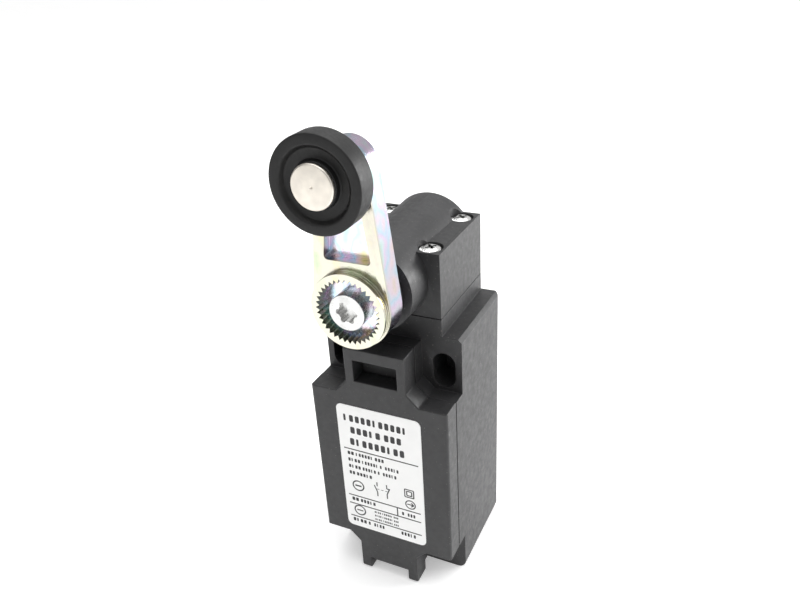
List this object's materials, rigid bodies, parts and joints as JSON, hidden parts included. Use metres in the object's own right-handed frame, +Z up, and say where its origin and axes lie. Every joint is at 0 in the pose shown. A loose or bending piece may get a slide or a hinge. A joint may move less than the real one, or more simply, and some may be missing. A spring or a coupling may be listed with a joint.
{
  "type": "limit switch",
  "caption": "Roller-lever limit switch: black plastic case with hinged front cover, clamped head, die-cast lever, plastic roller, sprung plunger and double-break contact block.",
  "frame": {"origin": "centre of the four mounting holes on the rear mounting face", "axes": "+X to the right, -Y out of the front cover and +Y into the mounting surface, +Z up towards the lever"},
  "size_m": [0.04, 0.0598, 0.1386],
  "materials": {
    "case_plastic": "fine moulded grain",
    "label": "satin printed film",
    "seal": "matte",
    "bush": "sintered",
    "steel": "turned",
    "zinc": "die-cast, yellow passivated",
    "zinc_plate": "bright zinc plated",
    "collar": "matte",
    "roller_plastic": "fine turned",
    "pin_steel": "turned stainless",
    "plunger_plastic": "smooth",
    "spring_steel": "drawn wire",
    "block_plastic": "moulded",
    "clear_plastic": "clear smoked",
    "copper_alloy": "stamped",
    "terminal_brass": "stamped"
  },
  "bodies": {
    "case": {"base_housing": "case_plastic", "cover_gasket": "seal", "head_casing": "case_plastic", "head_gasket": "seal", "head_screws": "zinc_plate", "front_bush": "bush", "rear_bush": "bush", "shaft_seal": "seal", "plunger_seal": "seal", "return_spring": "spring_steel", "contact_block": "block_plastic", "block_cover": "clear_plastic", "carriage_spring": "spring_steel", "nc_terminal_left": "terminal_brass", "nc_terminal_right": "terminal_brass", "no_terminal_left": "terminal_brass", "no_terminal_right": "terminal_brass", "terminal_screws": "zinc_plate", "clamp_plates": "zinc_plate", "block_screws": "zinc_plate"},
    "cover": {"front_cover": "case_plastic", "rating_label": "label"},
    "lever": {"lever_shaft": "steel", "shaft_clip": "spring_steel", "cam": "steel", "drive_collar": "collar", "lever_arm": "zinc", "lock_washer": "zinc_plate", "lever_screw": "zinc_plate", "roller_pin": "pin_steel"},
    "roller": {"roller": "roller_plastic"},
    "plunger": {"plunger": "plunger_plastic"},
    "carriage": {"contact_carriage": "plunger_plastic", "nc_bridge": "copper_alloy", "no_bridge": "copper_alloy", "bridge_springs": "spring_steel"}
  },
  "joints": [
    {"name": "cover_hinge", "type": "hinge", "parent": "case", "child": "cover", "pos_m": [0, -0.0366, -0.0355], "axis": [1, 0, 0], "range_deg": [0, 110]},
    {"name": "lever_turn", "type": "hinge", "parent": "case", "child": "lever", "pos_m": [0, -0.045, 0.0552], "axis": [0, -1, 0], "range_deg": [-75, 75], "stiffness_Nm_per_rad": 0.12},
    {"name": "roller_spin", "type": "hinge", "parent": "lever", "child": "roller", "pos_m": [0, -0.056, 0.0886], "axis": [0, -1, 0], "continuous": true},
    {"name": "plunger_slide", "type": "slide", "parent": "case", "child": "plunger", "axis": [0, 0, -1], "range_m": [0, 0.0026], "stiffness_N_per_m": 300, "springref_m": -0.002, "deforming": ["return_spring"]},
    {"name": "carriage_slide", "type": "slide", "parent": "case", "child": "carriage", "axis": [0, 0, -1], "range_m": [0, 0.0026], "deforming": ["carriage_spring"]}
  ],
  "couplings": [
    {"joint": "carriage_slide", "follows": "plunger_slide", "ratio": 1}
  ]
}
